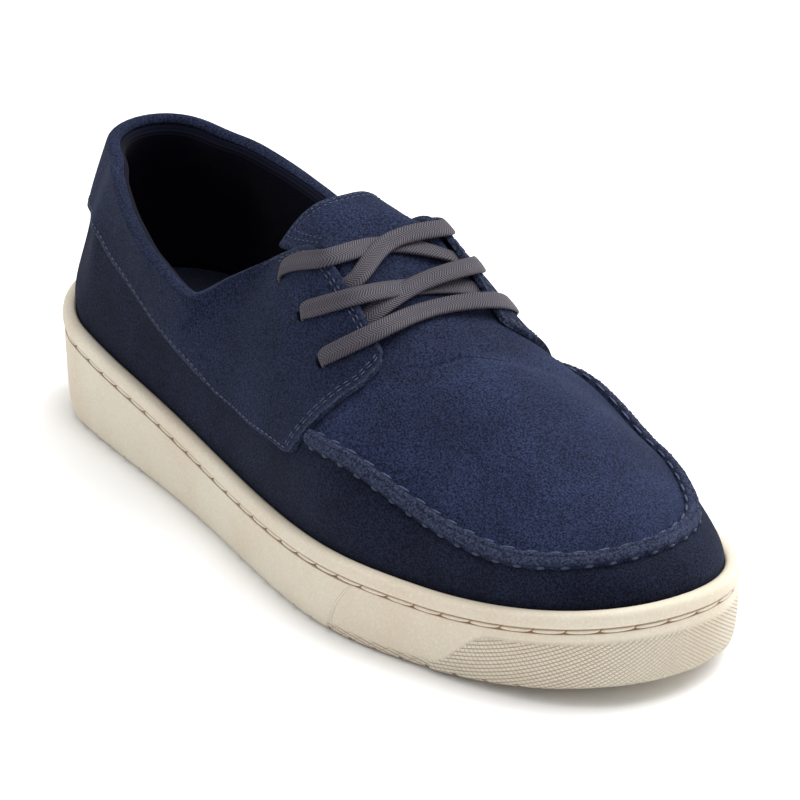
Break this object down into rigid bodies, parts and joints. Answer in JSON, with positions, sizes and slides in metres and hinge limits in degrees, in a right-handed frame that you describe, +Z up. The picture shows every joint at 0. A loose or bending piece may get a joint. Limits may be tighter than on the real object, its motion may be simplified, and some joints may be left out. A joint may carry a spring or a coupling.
{
  "type": "low sneaker with a moccasin toe",
  "caption": "Low suede sneaker for the right foot, with a sewn moccasin toe, laced flaps, a padded tongue and a moulded rubber cupsole.",
  "frame": {"origin": "on the floor under the middle of the sole's box", "axes": "+X towards the toe, +Y towards the inner side of the foot, +Z up"},
  "size_m": [0.3, 0.1108, 0.1032],
  "materials": {
    "cream_rubber": "matte moulded rubber, fine grain, cream",
    "footbed_cloth": "navy textile over foam",
    "navy_suede": "brushed suede with a short nap, navy",
    "waxed_lace": "flat waxed lace, grey with a purple cast"
  },
  "bodies": {
    "root": {"cupsole": "cream_rubber", "insole": "footbed_cloth", "upper": "navy_suede", "side_panel_lateral": "navy_suede", "side_panel_medial": "navy_suede", "tongue": "navy_suede", "lace_bar": "waxed_lace", "lace_cross_lower": "waxed_lace", "lace_cross_upper": "waxed_lace"}
  },
  "joints": []
}
